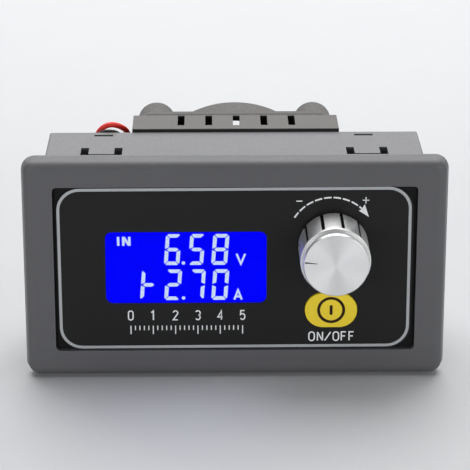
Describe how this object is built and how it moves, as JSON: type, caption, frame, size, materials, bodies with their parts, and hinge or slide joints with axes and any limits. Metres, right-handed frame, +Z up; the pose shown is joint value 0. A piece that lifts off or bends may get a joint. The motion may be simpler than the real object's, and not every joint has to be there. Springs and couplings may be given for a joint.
{
  "type": "dc electronic load",
  "caption": "Panel-mounted DC electronic load: snap-in bezel case with a backlit display, push-and-turn knob, power button and a fan-cooled heat sink at the back.",
  "frame": {"origin": "centre of the panel seat, the flat back of the bezel that lies on the mounting panel", "axes": "+X to the right seen from the front, +Y out of the back through the panel cut-out, +Z up"},
  "size_m": [0.079, 0.056, 0.043],
  "materials": {
    "housing": "satin",
    "front_panel": "satin",
    "panel_overlay": "matte",
    "display_window": "clear",
    "lcd_glass": "clear",
    "lcd_backlight": "matte",
    "lcd_pins": "tinned",
    "display_board": "solder resist",
    "display_board_chips": "matte",
    "display_board_screws": "black zinc",
    "encoder_body": "zinc",
    "encoder_bushing": "zinc",
    "encoder_plunger": "matte",
    "encoder_shaft": "turned",
    "knob": "polished and spun",
    "knob_insert": "matte",
    "power_button": "satin",
    "switch_body": "matte",
    "switch_plunger": "matte",
    "board_spacers": "nylon",
    "link_socket": "matte",
    "link_header": "matte",
    "power_board": "solder resist",
    "power_board_chips": "matte",
    "shunt_resistors": "matte",
    "bulk_capacitors": "sleeved",
    "mosfet": "moulded",
    "mosfet_leads": "tinned",
    "mosfet_screw": "zinc",
    "thermal_pad": "matte",
    "heatsink": "anodised",
    "heatsink_spacers": "turned",
    "heatsink_screws": "zinc",
    "fan_frame": "satin",
    "fan_bearing": "sintered",
    "fan_stator": "laminated",
    "fan_rotor": "satin",
    "fan_magnet": "bonded ferrite",
    "fan_shaft": "ground",
    "fan_screws": "black zinc",
    "fan_header": "nylon",
    "fan_plug": "nylon",
    "fan_lead_red": "satin",
    "fan_lead_black": "satin",
    "input_terminal": "satin",
    "terminal_contacts": "tinned",
    "terminal_screw_plus": "zinc",
    "terminal_screw_minus": "zinc",
    "terminal_cage_plus": "nickel",
    "terminal_cage_minus": "nickel",
    "serial_header": "nylon",
    "serial_contacts": "plated"
  },
  "bodies": {
    "chassis": {"housing": "housing", "front_panel": "front_panel", "panel_overlay": "panel_overlay", "display_window": "display_window", "lcd_glass": "lcd_glass", "lcd_backlight": "lcd_backlight", "lcd_pins": "lcd_pins", "display_board": "display_board", "display_board_chips": "display_board_chips", "display_board_screws": "display_board_screws", "encoder_body": "encoder_body", "encoder_bushing": "encoder_bushing", "switch_body": "switch_body", "board_spacers": "board_spacers", "link_socket": "link_socket", "link_header": "link_header", "power_board": "power_board", "power_board_chips": "power_board_chips", "shunt_resistors": "shunt_resistors", "bulk_capacitors": "bulk_capacitors", "mosfet": "mosfet", "mosfet_leads": "mosfet_leads", "mosfet_screw": "mosfet_screw", "thermal_pad": "thermal_pad", "heatsink": "heatsink", "heatsink_spacers": "heatsink_spacers", "heatsink_screws": "heatsink_screws", "fan_frame": "fan_frame", "fan_bearing": "fan_bearing", "fan_stator": "fan_stator", "fan_screws": "fan_screws", "fan_header": "fan_header", "fan_plug": "fan_plug", "fan_lead_red": "fan_lead_red", "fan_lead_black": "fan_lead_black", "input_terminal": "input_terminal", "terminal_contacts": "terminal_contacts", "serial_header": "serial_header", "serial_contacts": "serial_contacts"},
    "plunger": {"encoder_plunger": "encoder_plunger"},
    "knob": {"knob": "knob", "knob_insert": "knob_insert", "encoder_shaft": "encoder_shaft"},
    "button": {"power_button": "power_button", "switch_plunger": "switch_plunger"},
    "rotor": {"fan_rotor": "fan_rotor", "fan_magnet": "fan_magnet", "fan_shaft": "fan_shaft"},
    "screw_plus": {"terminal_screw_plus": "terminal_screw_plus"},
    "screw_minus": {"terminal_screw_minus": "terminal_screw_minus"},
    "cage_plus": {"terminal_cage_plus": "terminal_cage_plus"},
    "cage_minus": {"terminal_cage_minus": "terminal_cage_minus"}
  },
  "joints": [
    {"name": "knob_push", "type": "slide", "parent": "chassis", "child": "plunger", "axis": [0, 1, 0], "range_m": [0, 0.0005], "stiffness_N_per_m": 2000, "springref_m": -0.0003},
    {"name": "knob_turn", "type": "hinge", "parent": "plunger", "child": "knob", "pos_m": [0.0182, -0.007, 0.00465], "axis": [0, 1, 0], "continuous": true},
    {"name": "button_press", "type": "slide", "parent": "chassis", "child": "button", "axis": [0, 1, 0], "range_m": [0, 0.00025], "stiffness_N_per_m": 2000, "springref_m": -0.0003},
    {"name": "fan_spin", "type": "hinge", "parent": "chassis", "child": "rotor", "pos_m": [0.0004, 0.0355, 0.0004], "axis": [0, 1, 0], "continuous": true},
    {"name": "screw_turn_plus", "type": "hinge", "parent": "chassis", "child": "screw_plus", "pos_m": [0.0282, 0.027, 0.00254], "axis": [0, -1, 0], "range_deg": [0, 1440]},
    {"name": "cage_rise_plus", "type": "slide", "parent": "chassis", "child": "cage_plus", "axis": [0, 1, 0], "range_m": [0, 0.002]},
    {"name": "screw_turn_minus", "type": "hinge", "parent": "chassis", "child": "screw_minus", "pos_m": [0.0282, 0.027, -0.00254], "axis": [0, -1, 0], "range_deg": [0, 1440]},
    {"name": "cage_rise_minus", "type": "slide", "parent": "chassis", "child": "cage_minus", "axis": [0, 1, 0], "range_m": [0, 0.002]}
  ],
  "couplings": [
    {"joint": "screw_turn_plus", "follows": "cage_rise_plus", "rad_per_m": 12566},
    {"joint": "screw_turn_minus", "follows": "cage_rise_minus", "rad_per_m": 12566}
  ]
}
